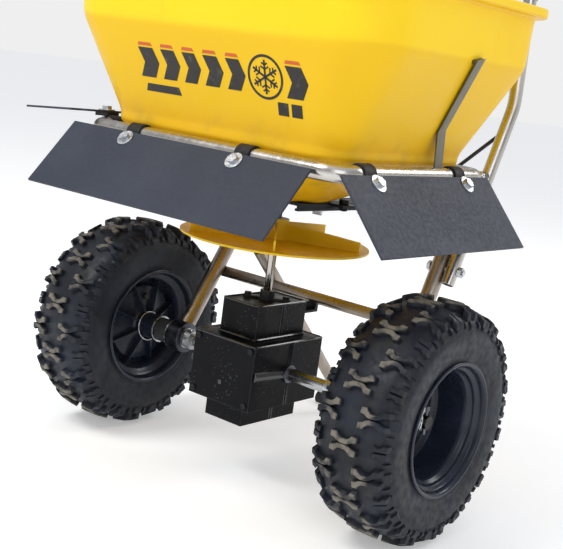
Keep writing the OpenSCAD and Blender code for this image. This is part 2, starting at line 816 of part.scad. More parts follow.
module tyre_right() { tyre(1, -5.3); }
module tyre_left() { tyre(-1, 7.2); }

// ---- spinner

module spinner_shaft() {
  color(steel) difference() {
    translate([0, 0, 198]) cylinder(r = shaft_r, h = 282);
    rod([-20, 0, pin_z], [20, 0, pin_z], 2.5);
  }
}
module pinion() {
  z = wheel_r + crown_r - 1;
  color(steel) difference() {
    union() {
      translate([0, 0, z - 4]) cylinder(r = 12, h = 24);
      for (k = [0:pinion_teeth - 1])
        rotate([0, 0, 360 / pinion_teeth * (k + 0.5)])
          translate([10, -tooth_w / 2, z - 3]) cube([13, tooth_w, 6]);
    }
    translate([0, 0, z - 5]) cylinder(r = shaft_r, h = 30);
  }
}
pin_z = spinner_z - 6;
vane_a0 = 21;
module spinner_disc() {
  color(yellow) difference() {
    union() {
      translate([0, 0, spinner_z]) cylinder(r = spinner_r, h = 3);
      translate([0, 0, spinner_z - 12]) cylinder(r = 15, h = 14);
      translate([0, 0, spinner_z]) cylinder(r = 18, h = 33);
      for (k = [0:vane_count - 1]) rotate([0, 0, vane_a0 + 360 / vane_count * k])
        translate([0, 1.5, 0]) rotate([90, 0, 0]) linear_extrude(3)
          polygon([[10, spinner_z + 1], [129, spinner_z + 1],
            [129, spinner_z + 18], [10, spinner_z + 28]]);
    }
    translate([0, 0, spinner_z - 20]) cylinder(r = shaft_r, h = 80);
    rod([-20, 0, pin_z], [20, 0, pin_z], 2.5);
  }
}
module spinner_pin() {
  color(zinc) rod([-17.5, 0, pin_z], [17.5, 0, pin_z], 2.5);
}
module agitator() {
  color(steel) difference() {
    union() {
      translate([0, 0, 440]) cylinder(r = 12, h = 30);
      rod([0, 0, 450], [62, 0, 458], 4);
      rod([0, 0, 460], [-62, 0, 468], 4);
    }
    translate([0, 0, 435]) cylinder(r = shaft_r, h = 50);
  }
}

// ---- deflector flaps: made hanging from a hinge line along X, facing -Y

module hung(side) {
  if (side == "front") translate([front_flap_x, -ring_y, ring_z])
    rotate([-flap_tilt, 0, 0]) children();
  if (side == "right") translate([ring_x, side_flap_y, ring_z])
    rotate([0, 0, 90]) rotate([-flap_tilt, 0, 0]) children();
  if (side == "left") translate([-ring_x, side_flap_y, ring_z])
    rotate([0, 0, -90]) rotate([-flap_raised, 0, 0]) children();
}
module flap(side, w, clip) {
  off = off_of(side);
  color(slate) hung(side) difference() {
    translate([-w / 2, -off, -flap_end]) cube([w, flap_t, flap_end - flap_top]);
    // relief that the front flap's end swings up through
    if (side == "left") translate([w / 2 - 18, -off - 1, -flap_top - 13])
      cube([30, flap_t + 2, 30]);
    for (s = [-1, 1]) translate([s * clip, -off - 1, -clip_drop])
      rotate([-90, 0, 0]) cylinder(r = 4, h = flap_t + 2);
  }
}
clip_in = ring_d / 2 + loose;
clip_t = 2.6;
clip_w = 24;
// loop round the ring tube with a doubled tail bolted behind the flap
module clips(side, clip) {
  off = off_of(side);
  ear = off - flap_t;
  color(black) hung(side) for (s = [-1, 1]) translate([s * clip, 0, 0]) difference() {
    union() {
      translate([-clip_w / 2, 0, 0]) rotate([0, 90, 0])
        cylinder(r = clip_in + clip_t, h = clip_w);
      translate([-clip_w / 2, -ear, -34]) cube([clip_w, 2 * clip_t, 26]);
      translate([-clip_w / 2, -ear, -14]) cube([clip_w, ear, clip_t]);
    }
    translate([-clip_w, 0, 0]) rotate([0, 90, 0]) cylinder(r = clip_in, h = 2 * clip_w);
    translate([-clip_w, -off - 5, -flap_end])
      cube([2 * clip_w, 5 + flap_t, flap_end - flap_top + 0.1]);
    translate([0, -off, -clip_drop]) rotate([-90, 0, 0]) cylinder(r = 4, h = 20);
  }
}
module clip_bolts(side, clip) {
  grip = flap_t + 2 * clip_t;
  color(zinc) hung(side) for (s = [-1, 1])
    translate([s * clip, -off_of(side), -clip_drop]) rotate([90, 0, 0]) {
      difference() {
        cylinder(r = 12.4, h = 1.6);
        translate([0, 0, -1]) cylinder(r = 3.9, h = 4);
      }
      translate([0, 0, 1.6]) hex_head(7.4, 5);
      translate([0, 0, -grip - 9]) cylinder(r = 4, h = grip + 11);
      translate([0, 0, -grip - 6.5]) hex_head(7.4, 6.5);
    }
}
module flap_front() { flap("front", front_flap_w, clip_front); }
module flap_front_clips() { clips("front", clip_front); }
module flap_front_bolts() { clip_bolts("front", clip_front); }
module flap_right() { flap("right", side_flap_w, clip_side); }
module flap_right_clips() { clips("right", clip_side); }
module flap_right_bolts() { clip_bolts("right", clip_side); }
module flap_left() { flap("left", side_flap_w, clip_side); }
module flap_left_clips() { clips("left", clip_side); }
module flap_left_bolts() { clip_bolts("left", clip_side); }

at_home() hopper();
at_home() hopper_strap_left();
at_home() hopper_strap_right();
at_home() hopper_bracket_left();
at_home() hopper_bracket_right();
at_home() hopper_bolts();
at_home() ring_tube();
at_home() handle_tube_left();
at_home() handle_tube_right();
at_home() handle_bar();
at_home() handle_grips();
at_home() lower_tube_left();
at_home() lower_tube_right();
at_home() frame_bolts();
at_home() crossbar();
at_home() stand_leg();
at_home() stand_foot();
at_home() axle_housing_left();
at_home() axle_housing_right();
at_home() bearing_left();
at_home() bearing_right();
at_home() gearbox_front();
at_home() gearbox_rear();
at_home() gearbox_screws();
at_home() gearbox_stay();
at_home() shaft_bushing();
at_home() gate_guide();
at_home() gate_guide_screws();
at_home() ring_brackets();
at_home() cable_sheath();
at_home() lever_bracket();
at_home() axle();
at_home() crown_gear();
at_home() axle_collars();
at_home() axle_spacers();
at_home() axle_washers();
at_home() lock_rings();
at_home() hub_pins();
at_home() rim_right();
at_home() tyre_right();
at_home() valve_right();
at_home() rim_left();
at_home() tyre_left();
at_home() valve_left();
at_home() spinner_shaft();
at_home() pinion();
at_home() spinner_disc();
at_home() spinner_pin();
at_home() agitator();
at_home() flap_front();
at_home() flap_front_clips();
at_home() flap_front_bolts();
at_home() flap_right();
at_home() flap_right_clips();
at_home() flap_right_bolts();
at_home() flap_left();
at_home() flap_left_clips();
at_home() flap_left_bolts();
at_home() gate_plate();
at_home() control_lever();
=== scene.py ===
import json
import math

import bmesh
import bpy
from mathutils import Matrix, Vector


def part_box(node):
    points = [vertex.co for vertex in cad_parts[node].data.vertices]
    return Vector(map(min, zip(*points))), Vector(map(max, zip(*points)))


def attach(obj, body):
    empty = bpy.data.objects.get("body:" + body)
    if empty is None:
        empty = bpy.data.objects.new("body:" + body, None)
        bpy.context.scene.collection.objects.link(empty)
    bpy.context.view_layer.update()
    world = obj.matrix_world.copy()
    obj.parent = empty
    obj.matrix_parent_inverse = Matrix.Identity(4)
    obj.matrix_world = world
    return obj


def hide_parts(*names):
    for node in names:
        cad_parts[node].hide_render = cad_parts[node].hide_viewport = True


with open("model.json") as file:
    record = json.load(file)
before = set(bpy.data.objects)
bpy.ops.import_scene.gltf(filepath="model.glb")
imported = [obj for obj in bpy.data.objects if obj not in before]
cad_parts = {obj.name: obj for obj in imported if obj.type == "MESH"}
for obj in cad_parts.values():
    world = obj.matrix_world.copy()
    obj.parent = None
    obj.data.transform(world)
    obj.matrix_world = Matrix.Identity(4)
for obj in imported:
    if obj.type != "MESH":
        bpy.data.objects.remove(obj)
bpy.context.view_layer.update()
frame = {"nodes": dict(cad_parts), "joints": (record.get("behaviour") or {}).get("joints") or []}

SCENE = bpy.context.scene
MM = 0.001
JOINT = {j["name"]: j for j in frame["joints"]}
# every size below is in millimetres from the point on the ground under the
# crossing of the wheel axle and the spinner shaft
AXLE_Z = JOINT["axle_spin"]["pos_m"][2] / MM
HOME = Vector(JOINT["axle_spin"]["pos_m"][:2] + [0.0])


def at(x, y, z):
    return HOME + Vector((x, y, z)) * MM


# ---------------------------------------------------------------- camera

CAMERA_TURN = (38.02, 10.46, 7.73)      # azimuth, elevation and roll, degrees
CAMERA_PLACE = (1002.0, -1254.0, 603.05)
CAMERA_LENS, SENSOR = 70.573, 36.0


def make_camera():
    azimuth, elevation, roll = (math.radians(a) for a in CAMERA_TURN)
    forward = Vector((-math.sin(azimuth) * math.cos(elevation),
                      math.cos(azimuth) * math.cos(elevation), -math.sin(elevation)))
    right = Vector((math.cos(azimuth), math.sin(azimuth), 0.0))
    down = forward.cross(right)
    across = right * math.cos(roll) - down * math.sin(roll)
    below = right * math.sin(roll) + down * math.cos(roll)
    data = bpy.data.cameras.new("camera")
    data.lens, data.sensor_width = CAMERA_LENS, SENSOR
    cam = bpy.data.objects.new("camera", data)
    SCENE.collection.objects.link(cam)
    cam.matrix_world = (Matrix.Translation(at(*CAMERA_PLACE))
                        @ Matrix((across, -below, -forward)).transposed().to_4x4())
    SCENE.camera = cam


make_camera()


# ---------------------------------------------------------------- materials

class Shader:
    """A Principled material with a few short ways to add nodes.

    Scales are per metre, radii and heights in metres, colours linear.
    """

    def __init__(self, name, color, roughness, metallic=0.0, **sockets):
        self.mat = bpy.data.materials.new(name)
        self.mat.use_nodes = True
        self.tree = self.mat.node_tree
        self.bsdf = self.tree.nodes["Principled BSDF"]
        self.bsdf.inputs["Base Color"].default_value = (*color, 1.0)
        self.bsdf.inputs["Roughness"].default_value = roughness
        self.bsdf.inputs["Metallic"].default_value = metallic
        for key, value in sockets.items():
            self.bsdf.inputs[key.replace("_", " ")].default_value = value
        self.mat.diffuse_color = (*color, 1.0)
        self.coord = self.node("ShaderNodeTexCoord").outputs["Object"]

    def node(self, kind, **settings):
        n = self.tree.nodes.new(kind)
        for key, value in settings.items():
            setattr(n, key, value)
        return n

    def put(self, socket, value):
        """Links an output to the socket, or sets it to a number or a colour; None leaves it."""
        if isinstance(value, bpy.types.NodeSocket):
            self.tree.links.new(value, socket)
        elif isinstance(value, tuple):
            socket.default_value = (*value, 1.0)
        elif value is not None:
            socket.default_value = value

    def noise(self, scale, detail=3.0, roughness=0.55, stretch=None):
        n = self.node("ShaderNodeTexNoise")
        n.inputs["Scale"].default_value = scale
        n.inputs["Detail"].default_value = detail
        n.inputs["Roughness"].default_value = roughness
        vector = self.coord
        if stretch:
            m = self.node("ShaderNodeMapping")
            m.inputs["Scale"].default_value = stretch
            self.tree.links.new(self.coord, m.inputs["Vector"])
            vector = m.outputs["Vector"]
        self.tree.links.new(vector, n.inputs["Vector"])
        return n.outputs["Fac"]

    def cells(self, scale):
        n = self.node("ShaderNodeTexVoronoi")
        n.inputs["Scale"].default_value = scale
        self.tree.links.new(self.coord, n.inputs["Vector"])
        return n.outputs["Distance"]

    def span(self, value, low, high, to_low=0.0, to_high=1.0):
        n = self.node("ShaderNodeMapRange", interpolation_type="SMOOTHSTEP")
        self.tree.links.new(value, n.inputs["Value"])
        for key, v in (("From Min", low), ("From Max", high),
                       ("To Min", to_low), ("To Max", to_high)):
            n.inputs[key].default_value = v
        return n.outputs["Result"]

    def math(self, operation, a, b=None):
        n = self.node("ShaderNodeMath", operation=operation)
        for socket, value in zip(n.inputs, (a, b)):
            self.put(socket, value)
        return n.outputs[0]

    def mix(self, factor, a, b):
        n = self.node("ShaderNodeMix", data_type="RGBA")
        for socket, value in zip((n.inputs[0], n.inputs[6], n.inputs[7]), (factor, a, b)):
            self.put(socket, value)
        return n.outputs[2]

    def color(self, socket):
        self.tree.links.new(socket, self.bsdf.inputs["Base Color"])

    def rough(self, socket):
        self.tree.links.new(socket, self.bsdf.inputs["Roughness"])

    def bump(self, height, strength, distance):
        n = self.node("ShaderNodeBump")
        n.inputs["Strength"].default_value = strength
        n.inputs["Distance"].default_value = distance
        self.tree.links.new(height, n.inputs["Height"])
        self.tree.links.new(n.outputs["Normal"], self.bsdf.inputs["Normal"])

    def edges(self, radius, low, high):
        """1 on edges, 0 elsewhere; used for painted highlights along edges and for the flap's
        darker cut edges.
        """
        bevel = self.node("ShaderNodeBevel", samples=4)
        bevel.inputs["Radius"].default_value = radius
        geometry = self.node("ShaderNodeNewGeometry")
        dot = self.node("ShaderNodeVectorMath", operation="DOT_PRODUCT")
        self.tree.links.new(bevel.outputs["Normal"], dot.inputs[0])
        self.tree.links.new(geometry.outputs["Normal"], dot.inputs[1])
        return self.span(dot.outputs["Value"], high, low)

    def axis(self, name):
        n = self.node("ShaderNodeSeparateXYZ")
        self.tree.links.new(self.coord, n.inputs[0])
        return n.outputs[name]

    def facing(self, name):
        geometry = self.node("ShaderNodeNewGeometry")
        n = self.node("ShaderNodeSeparateXYZ")
        self.tree.links.new(geometry.outputs["Normal"], n.inputs[0])
        return n.outputs[name]


def yellow_shell(name, light, deep, grime_top):
    """Moulded yellow plastic with faint streaks, painted shade on faces that turn downward, painted
    highlights along the edges, and below grime_top metres a deeper orange with patches of salt
    grime.
    """
    s = Shader(name, light, 0.42, Specular_IOR_Level=0.22)
    tone = s.mix(s.span(s.noise(4.0, 4.0), 0.35, 0.7), light, deep)
    # painted shade: the colour is deeper on faces that turn downward, where the sides lean in
    tone = s.mix(s.span(s.facing("Z"), -0.12, -0.30, 0.0, 0.70), tone, (0.79, 0.465, 0.004))
    # painted highlight: the edges are lighter and paler yellow
    tone = s.mix(s.math("MULTIPLY", s.edges(0.006, 0.80, 0.998), 0.55), tone, (0.96, 0.70, 0.06))
    streak = s.span(s.noise(14.0, 5.0, stretch=(5.0, 5.0, 0.7)), 0.56, 0.78)
    tone = s.mix(s.math("MULTIPLY", streak, 0.10), tone, (0.70, 0.40, 0.02))
    # darker, more orange towards the bottom, with patches of dirt below that
    low = s.span(s.axis("Z"), grime_top, grime_top - 0.045)
    tone = s.mix(s.math("MULTIPLY", low, 0.32), tone, (0.72, 0.30, 0.002))
    dirt = s.math("MULTIPLY", s.math("MULTIPLY", s.span(s.noise(26.0, 6.0), 0.45, 0.8), low), 0.3)
    s.color(s.mix(dirt, tone, (0.30, 0.19, 0.07)))
    s.rough(s.span(s.noise(45.0, 4.0), 0.3, 0.75, 0.33, 0.50))
    s.bump(s.math("ADD", s.math("MULTIPLY", s.noise(900.0, 2.0), 0.35), s.noise(60.0, 3.0)),
           0.12, 0.0006)
    return s.mat


def steel(name, color, reflection_tint, rough, grain=(1.0, 1.0, 1.0), painted_shade_from=None):
    """Bare steel with patches of a second colour as painted reflection; given a distance, it is
    painted dark as shade further out than that from the middle.
    """
    s = Shader(name, color, rough, 1.0)
    # painted reflection: patches of the second colour stand in for warm surroundings reflected in
    # the steel
    tone = s.mix(s.span(s.noise(11.0, 4.0, stretch=grain), 0.42, 0.75), color, reflection_tint)
    # painted shade: dark further out than the given distance from the middle
    if painted_shade_from:
        out = s.math("ABSOLUTE", s.math("SUBTRACT", s.axis("X"), HOME.x))
        tone = s.mix(s.span(out, painted_shade_from, painted_shade_from + 0.004), tone, (0.035, 0.033, 0.032))
    s.color(tone)
    s.rough(s.span(s.noise(70.0, 5.0, stretch=grain), 0.25, 0.8, rough * 0.72, rough * 1.45))
    s.bump(s.noise(620.0, 3.0, stretch=grain), 0.05, 0.0004)
    return s.mat


def zinc_plate():
    """Zinc with its crystal spangle and a few brown stains."""
    s = Shader("zinc_plate", (0.66, 0.68, 0.70), 0.34, 1.0)
    tone = s.mix(s.span(s.cells(260.0), 0.1, 0.7), (0.72, 0.74, 0.76), (0.50, 0.52, 0.55))
    s.color(s.mix(s.span(s.noise(90.0, 5.0), 0.6, 0.82), tone, (0.36, 0.30, 0.22)))
    s.rough(s.span(s.noise(160.0, 4.0), 0.3, 0.75, 0.24, 0.5))
    s.bump(s.noise(1100.0, 2.0), 0.12, 0.0003)
    return s.mat


def black_enamel(name, color, rough, dust, speck, gloss=0.10):
    """Black paint with painted highlights along the edges, grains of salt and a thin film of dust.
    """
    s = Shader(name, color, rough, Specular_IOR_Level=gloss)
    edge = s.edges(0.0018, 0.60, 0.985)
    # painted highlight: a pale bluish colour along the edges
    tone = s.mix(s.math("MULTIPLY", edge, 0.5), color, (0.13, 0.145, 0.19))
    specks = s.math("MULTIPLY", s.span(s.cells(240.0), 0.20, 0.09),
                    s.span(s.noise(24.0, 4.0), 0.44, 0.58))
    tone = s.mix(s.math("MULTIPLY", specks, speck), tone, (0.30, 0.31, 0.30))
    film = s.math("MULTIPLY", s.span(s.noise(17.0, 6.0), 0.4, 0.8), dust)
    s.color(s.mix(film, tone, (0.022, 0.022, 0.024)))
    s.rough(s.span(s.noise(30.0, 5.0), 0.35, 0.75, rough * 0.8, rough * 1.6))
    s.bump(s.math("ADD", s.noise(480.0, 3.0), s.math("MULTIPLY", specks, 0.5)), 0.08, 0.0005)
    return s.mat


def moulded(name, color, rough, pale, coarse=700.0):
    """Black plastic or rubber with a moulded grain."""
    s = Shader(name, color, rough, Specular_IOR_Level=0.32)
    s.color(s.mix(s.span(s.noise(22.0, 5.0), 0.42, 0.8), color, pale))
    s.rough(s.span(s.noise(60.0, 4.0), 0.3, 0.75, rough * 0.82, rough * 1.25))
    s.bump(s.noise(coarse, 3.0), 0.16, 0.0004)
    return s.mat


def flap_sheet():
    """Slate grey rubber sheet with a fine fleck and upright scuffs."""
    base = (0.034, 0.041, 0.062)
    s = Shader("flap_sheet", base, 0.50, Specular_IOR_Level=0.22)
    tone = s.mix(s.span(s.noise(9.0, 5.0), 0.38, 0.72), base, (0.044, 0.052, 0.074))
    fleck = s.span(s.noise(1400.0, 2.0, 0.7), 0.50, 0.78)
    tone = s.mix(s.math("MULTIPLY", fleck, 0.30), tone, (0.105, 0.118, 0.150))
    scuff = s.span(s.noise(30.0, 6.0, stretch=(0.5, 0.5, 3.0)), 0.66, 0.80)
    tone = s.mix(s.math("MULTIPLY", scuff, 0.12), tone, (0.15, 0.16, 0.18))
    edge = s.edges(0.0016, 0.62, 0.97)
    s.color(s.mix(s.math("MULTIPLY", edge, 0.6), tone, (0.030, 0.026, 0.026)))
    s.rough(s.span(s.noise(180.0, 4.0), 0.3, 0.75, 0.44, 0.62))
    s.bump(s.noise(1500.0, 2.0, 0.7), 0.30, 0.0004)
    return s.mat


def tyre_rubber():
    """Rubber with dust in the hollows, a bluish tone as painted sky sheen, and lug tops worn to a
    pale tan.
    """
    s = Shader("tyre_rubber", (0.012, 0.013, 0.018), 0.5, Specular_IOR_Level=0.30)
    y = s.math("SUBTRACT", s.axis("Y"), HOME.y)
    z = s.math("SUBTRACT", s.axis("Z"), AXLE_Z * MM)
    radius = s.math("SQRT", s.math("ADD", s.math("MULTIPLY", y, y), s.math("MULTIPLY", z, z)))
    # painted reflection: the rubber's dark tone is tinted blue for the sky's sheen
    tone = s.mix(s.span(s.noise(12.0, 5.0), 0.4, 0.7), (0.008, 0.010, 0.016), (0.015, 0.020, 0.033))
    dusty = s.math("MULTIPLY", s.span(s.noise(48.0, 6.0), 0.5, 0.74), 0.45)
    tone = s.mix(dusty, tone, (0.034, 0.033, 0.026))
    worn = s.span(radius, 0.1640, 0.1664)
    patch = s.span(s.noise(60.0, 4.0), 0.30, 0.60)
    tone = s.mix(s.math("MULTIPLY", worn, s.math("MULTIPLY", patch, 0.85)), tone,
                 (0.205, 0.185, 0.150))
    s.color(tone)
    s.rough(s.span(s.noise(90.0, 5.0), 0.3, 0.75, 0.38, 0.66))
    s.bump(s.math("ADD", s.noise(520.0, 4.0), s.math("MULTIPLY", s.noise(110.0, 3.0), 0.6)),
           0.32, 0.0007)
    return s.mat


def print_ink(name, color):
    """Printed ink, a little rubbed."""
    s = Shader(name, color, 0.42, Specular_IOR_Level=0.4)
    s.color(s.mix(s.span(s.noise(70.0, 5.0), 0.55, 0.8), color,
                  tuple(0.75 * c + 0.08 for c in color)))
    s.rough(s.span(s.noise(120.0, 3.0), 0.3, 0.75, 0.34, 0.5))
    s.bump(s.noise(900.0, 2.0), 0.08, 0.0003)
    return s.mat


MAT = {
    "hopper": yellow_shell("yellow_hopper", (0.94, 0.645, 0.014), (0.91, 0.585, 0.009), 0.552),
    "spinner": yellow_shell("yellow_spinner", (0.92, 0.59, 0.008), (0.84, 0.50, 0.006), 0.33),
    "stainless": steel("stainless_tube", (0.56, 0.54, 0.51), (0.42, 0.385, 0.345), 0.25,
                       (1.0, 1.0, 0.35)),
    # painted reflection: darker, browner steel for the lower tubes, crossbar and stand leg,
    # standing in for brown surroundings they reflect
    "warm_reflection_steel": steel("stainless_painted_warm_reflection", (0.41, 0.36, 0.31), (0.29, 0.235, 0.185), 0.32,
                     (1.0, 1.0, 0.35)),
    "housing": steel("housing_steel", (0.105, 0.11, 0.135), (0.065, 0.066, 0.08), 0.30),
    # painted shade on the axle's ends inside the hubs
    "axle": steel("axle_steel", (0.48, 0.49, 0.51), (0.33, 0.32, 0.31), 0.22, painted_shade_from=0.284),
    # painted reflection: the stainless strap is given a dark brown-grey for the surroundings it
    # reflects
    "strap": steel("stainless_strap", (0.15, 0.14, 0.11), (0.10, 0.09, 0.07), 0.34,
                   (1.0, 1.0, 0.35)),
    "zinc": zinc_plate(),
    # painted shade: washers and pins in the hubs take a darkened zinc colour for the shade there,
    # with a rougher dull finish
    "dull_zinc_painted_shade": steel("dull_zinc_painted_shade", (0.16, 0.17, 0.19), (0.09, 0.09, 0.10), 0.42),
    "gear": steel("machined_steel", (0.46, 0.45, 0.43), (0.30, 0.28, 0.25), 0.34),
    "gearbox": black_enamel("gearbox_enamel", (0.003, 0.0032, 0.0045), 0.26, 0.12, 0.5),
    "gearbox_lip": black_enamel("gearbox_lip", (0.004, 0.005, 0.008), 0.14, 0.05, 0.2, 0.75),
    "powder": black_enamel("powder_coat", (0.008, 0.008, 0.010), 0.36, 0.2, 0.2, 0.2),
    "plastic": moulded("black_plastic", (0.018, 0.019, 0.022), 0.36, (0.05, 0.05, 0.055)),
    "grip": moulded("grip_rubber", (0.016, 0.016, 0.018), 0.62, (0.045, 0.044, 0.042), 420.0),
    # painted reflection: the rim's black is tinted blue for the sky's sheen
    "rim": moulded("rim_plastic", (0.013, 0.017, 0.029), 0.27, (0.024, 0.031, 0.052), 560.0),
    "tyre": tyre_rubber(),
    "flap": flap_sheet(),
    "ink_dark": print_ink("ink_dark", (0.018, 0.015, 0.012)),
    "ink_warm": print_ink("ink_warm", (0.62, 0.11, 0.015)),
}


# ---------------------------------------------------------------- mesh tools

def add_mesh(name, verts, faces, material, body, replaces=(), crisp=35.0):
    """A closed mesh; verts are Vectors in metres, and edges over crisp degrees stay sharp."""
    mesh = bpy.data.meshes.new(name)
    mesh.from_pydata([tuple(v) for v in verts], [], faces)
    bm = bmesh.new()
    bm.from_mesh(mesh)
    bmesh.ops.recalc_face_normals(bm, faces=bm.faces)
    for f in bm.faces:
        f.smooth = True
    for e in bm.edges:
        if len(e.link_faces) == 2 and e.calc_face_angle(0.0) > math.radians(crisp):
            e.smooth = False
    bm.to_mesh(mesh)
    bm.free()
    mesh.materials.append(MAT[material])
    obj = bpy.data.objects.new(name, mesh)
    SCENE.collection.objects.link(obj)
    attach(obj, body)
    if replaces:
        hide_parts(*replaces)
    return obj


def join_parts(parts):
    """Several (verts, faces) as one."""
    verts, faces = [], []
    for v, f in parts:
        base = len(verts)
        verts += v
        faces += [tuple(i + base for i in face) for face in f]
    return verts, faces


def rings_to_mesh(rings, loop=False):
    """Skin of rings that all have the same number of points."""
    count = len(rings[0])
    verts = [p for ring in rings for p in ring]
    faces = []
    last = len(rings) if loop else len(rings) - 1
    for i in range(last):
        a, b = i * count, (i + 1) % len(rings) * count
        for k in range(count):
            n = (k + 1) % count
            faces.append((a + k, a + n, b + n, b + k))
    if not loop:
        faces.append(tuple(range(count)))
        faces.append(tuple(range(len(verts) - 1, len(verts) - count - 1, -1)))
    return verts, faces


def revolve_x(profile, x0, side, steps, centre=(0.0, AXLE_Z)):
    """Closed profile of (radius, distance along X), turned round an X line."""
    rings = []
    for k in range(steps):
        a = 2 * math.pi * k / steps
        rings.append([at(x0 + side * h, centre[0] + r * math.sin(a), centre[1] - r * math.cos(a))
                      for r, h in profile])
    return rings_to_mesh(rings, loop=True)


def toward(p, q, reach):
    share = min(reach / math.dist(p, q), 0.48)
    return [a + (b - a) * share for a, b in zip(p, q)]


def rounded(points, radii, closed=True, steps=5):
    """A polyline of tuples with each corner turned into a short curve."""
    out = []
    n = len(points)
    for i, p in enumerate(points):
        r = radii[i] if isinstance(radii, (list, tuple)) else radii
        if r <= 0 or (not closed and i in (0, n - 1)):
            out.append(tuple(p))
            continue
        start, end = toward(p, points[i - 1], r), toward(p, points[(i + 1) % n], r)
        for k in range(steps + 1):
            t = k / steps
            out.append(tuple(a * (1 - t) ** 2 + b * 2 * t * (1 - t) + c * t * t
                             for a, b, c in zip(start, p, end)))
    return out


def path_of(points, bend, steps=9):
    """Points in mm joined by straights with round bends, as Vectors in metres."""
    out = []
    for i, p in enumerate(points):
        p = Vector(p)
        if i in (0, len(points) - 1):
            out.append(p)
            continue
        u, v = (Vector(points[i - 1]) - p).normalized(), (Vector(points[i + 1]) - p).normalized()
        turn = math.pi - u.angle(v)
        centre = p + (u + v).normalized() * bend / math.cos(turn / 2)
        s = (p + u * bend * math.tan(turn / 2) - centre) / bend
        e = (p + v * bend * math.tan(turn / 2) - centre) / bend
        for k in range(steps + 1):
            t = k / steps
            out.append(centre + (s * math.sin((1 - t) * turn) + e * math.sin(t * turn))
                       * bend / math.sin(turn))
    return [at(*p) for p in out]


def sweep(points, radius, wall=0.0, sides=28, loop=False):
    """Round tube along Vectors in metres; with a wall it is open at both ends."""
    count = len(points)
    tangents = []
    for i in range(count):
        if loop:
            t = points[(i + 1) % count] - points[i - 1]
        else:
            t = points[min(i + 1, count - 1)] - points[max(i - 1, 0)]
        tangents.append(t.normalized())
    side = tangents[0].orthogonal().normalized()
    frames = []
    for t in tangents:
        side = (side - t * side.dot(t)).normalized()
        frames.append((side, t.cross(side)))

    def ring(i, r):
        a, b = frames[i]
        return [points[i] + (a * math.cos(q) + b * math.sin(q)) * r * MM
                for q in (2 * math.pi * k / sides for k in range(sides))]

    if loop:
        return rings_to_mesh([ring(i, radius) for i in range(count)], loop=True)
    if not wall:
        return rings_to_mesh([ring(i, radius) for i in range(count)])
    outer = [ring(i, radius) for i in range(count)]
    inner = [ring(i, radius - wall) for i in reversed(range(count))]
    return rings_to_mesh(outer + inner, loop=True)


def block(polygon, low, high, place):
    """Prism from a flat polygon; place maps (u, v, w) to a Vector."""
    n = len(polygon)
    verts = [place(u, v, low) for u, v in polygon] + [place(u, v, high) for u, v in polygon]
    faces = [tuple(range(n)), tuple(range(n, 2 * n))]
    faces += [(k, (k + 1) % n, n + (k + 1) % n, n + k) for k in range(n)]
    return verts, faces


def bake_modifiers(obj):
    """The object's mesh with its modifiers applied."""
    graph = bpy.context.evaluated_depsgraph_get()
    mesh = bpy.data.meshes.new_from_object(obj.evaluated_get(graph))
    obj.modifiers.clear()
    obj.data = mesh


def soften(obj, width, segments):
    """Rounds the edges that turn by more than 40 degrees; width in mm."""
    bevel = obj.modifiers.new("edge", "BEVEL")
    bevel.width = width * MM
    bevel.segments = segments
    bevel.limit_method = "ANGLE"
    bevel.angle_limit = math.radians(40.0)
    bevel.harden_normals = True
    bevel.use_clamp_overlap = True


# ---------------------------------------------------------------- hopper

# heights of the outlet, the band at the base, the crease and the turned-over edge
THROAT, BAND_LOW, BAND, KNEE, LIP = 424.0, 500.0, 515.0, 645.0, 730.0
STRAP_LEAN = math.radians(12.0)
STRAP_SLOT = (274.6, 16.8, 646.4)


def hopper_rings():
    """(z, half x, half y, corner radius) up the outside and down the inside."""
    outside = [(THROAT, 60, 60, 60), (THROAT, 70, 70, 70), (BAND_LOW, 207.5, 161, 44),
               (BAND, 207.5, 161, 44), (KNEE, 277.6, 207, 76), (713, 279.4, 208.7, 76),
               (717, 281.5, 210.8, 77), (717.5, 295, 224, 88), (LIP, 295, 224, 88)]
    inside = [(LIP, 275.8, 205.2, 72), (KNEE, 273.6, 203, 72), (BAND, 203.5, 157, 40),
              (BAND_LOW, 203.5, 157, 40), (THROAT + 4, 66, 66, 66), (THROAT + 4, 56, 56, 56)]
    radii = [0, 3, 10, 10, 12, 3, 3, 4, 4, 4, 12, 10, 10, 3, 0]
    return rounded(outside + inside, radii, closed=False, steps=6)


def rounded_rectangle(z, hx, hy, r):
    """Ring at height z with half sizes hx and hy and corners of radius r."""
    corner_steps, flat_steps = 12, 6
    points = []
    for k, (sx, sy) in enumerate(((1, 1), (-1, 1), (-1, -1), (1, -1))):
        cx, cy = sx * max(hx - r, 0), sy * max(hy - r, 0)
        for i in range(corner_steps + 1):
            a = math.pi / 2 * (k + i / corner_steps)
            points.append(Vector((cx + r * math.cos(a), cy + r * math.sin(a), z)))
        nx, ny = ((-1, 1), (-1, -1), (1, -1), (1, 1))[k]
        end = Vector((nx * max(hx - r, 0), ny * max(hy - r, 0), z))
        end += Vector((r * math.cos(math.pi / 2 * (k + 1)), r * math.sin(math.pi / 2 * (k + 1)), 0))
        start = points[-1]
        for i in range(1, flat_steps):
            points.append(start.lerp(end, i / flat_steps))
    return [at(*p) for p in points]


def cut(obj, cutters):
    """Takes each cutter's solid out of the object's mesh."""
    for verts, faces in cutters:
        mesh = bpy.data.meshes.new("cutter")
        mesh.from_pydata([tuple(v) for v in verts], [], faces)
        bm = bmesh.new()
        bm.from_mesh(mesh)
        bmesh.ops.recalc_face_normals(bm, faces=bm.faces)
        bm.to_mesh(mesh)
        bm.free()
        tool = bpy.data.objects.new("cutter", mesh)
        SCENE.collection.objects.link(tool)
        m = obj.modifiers.new("cut", "BOOLEAN")
        m.operation, m.solver, m.object = "DIFFERENCE", "EXACT", tool
        bake_modifiers(obj)
        bpy.data.objects.remove(tool)


